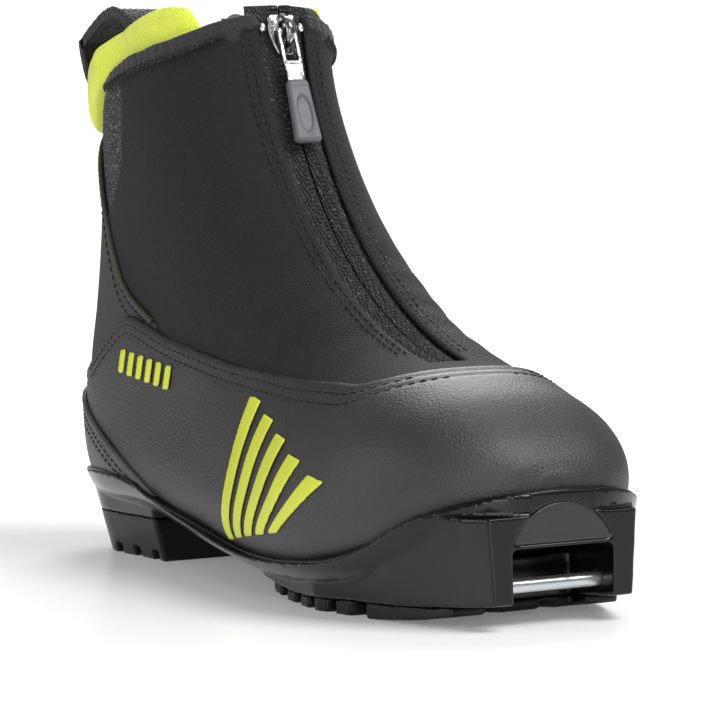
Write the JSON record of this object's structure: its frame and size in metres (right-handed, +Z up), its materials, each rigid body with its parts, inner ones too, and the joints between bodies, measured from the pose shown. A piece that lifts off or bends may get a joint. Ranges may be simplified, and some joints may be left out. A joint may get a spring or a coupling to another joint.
{
  "type": "cross country boot",
  "caption": "Low cross country boot with a zipped soft cover over a lace-up inner boot, a padded heel collar with pull loop, and a sole with a captive steel toe bar.",
  "frame": {"origin": "on the ground under the middle of the boot's box", "axes": "+X towards the toe, +Y towards the inner (medial) side, +Z up; a right boot"},
  "size_m": [0.282, 0.0924, 0.182],
  "materials": {
    "cover_fabric": "matt soft-shell twill",
    "hem_fabric": "matt folded soft-shell",
    "mesh": "open mesh with light flecks",
    "ankle_fabric": "fine coated weave",
    "piping": "thin olive edge piping",
    "overlay": "coated synthetic, fine twill emboss",
    "counter": "coated synthetic, leather grain",
    "webbing": "woven webbing",
    "collar_yellow": "soft stretch knit",
    "print_yellow": "flat transfer print",
    "lining": "brushed lining",
    "padding": "foam-backed fabric",
    "tongue_fabric": "foam-backed fabric",
    "footbed_felt": "felt-topped foam",
    "board": "pressed fibre board",
    "shank_steel": "brushed",
    "stiffener": "thermoplastic sheet",
    "lace": "flat braid",
    "zip_tape": "ribbed woven tape",
    "zip_coil": "nylon coil",
    "zip_metal": "polished",
    "stop_metal": "bright",
    "grip_rubber": "matt moulded",
    "sole": "glossy moulded",
    "tread": "satin moulded",
    "insert": "satin",
    "bar_steel": "bright drawn"
  },
  "bodies": {
    "boot": {"cover_lateral": "cover_fabric", "cover_medial": "cover_fabric", "hem_lateral": "hem_fabric", "hem_medial": "hem_fabric", "base_upper": "overlay", "rear_mesh_panel": "mesh", "ankle_panel_lateral": "ankle_fabric", "ankle_panel_medial": "ankle_fabric", "piping_lateral": "piping", "piping_medial": "piping", "lower_overlay": "overlay", "heel_counter_panel": "counter", "back_strap": "webbing", "side_bars": "print_yellow", "side_dashes": "print_yellow", "shank": "shank_steel", "lasting_board": "board", "heel_cup": "stiffener", "toe_puff": "stiffener", "quarter_padding": "padding", "tongue": "tongue_fabric", "lining": "lining", "footbed": "footbed_felt", "laces": "lace", "lace_loops": "webbing", "heel_collar": "collar_yellow", "pull_loop": "webbing", "zip_tape_lateral": "zip_tape", "zip_tape_medial": "zip_tape", "zip_coil_lateral": "zip_coil", "zip_coil_medial": "zip_coil", "zip_top_stops": "stop_metal", "zip_bottom_stop": "stop_metal", "toe_bar": "bar_steel", "toe_insert": "insert", "sole_plate": "sole", "rand_bead": "sole", "heel_tread": "tread", "forefoot_tread": "tread"},
    "slider": {"zip_slider": "zip_metal"},
    "puller": {"puller_link": "zip_metal", "puller_grip": "grip_rubber"}
  },
  "joints": [
    {"name": "zip_travel", "type": "hinge", "parent": "boot", "child": "slider", "pos_m": [0.1115, 0.00167, 0.191], "axis": [0, -1, 0], "range_deg": [0, 53]},
    {"name": "puller_swing", "type": "hinge", "parent": "slider", "child": "puller", "pos_m": [-0.01004, 0.00167, 0.16494], "axis": [0, -1, 0], "range_deg": [0, 150]}
  ]
}
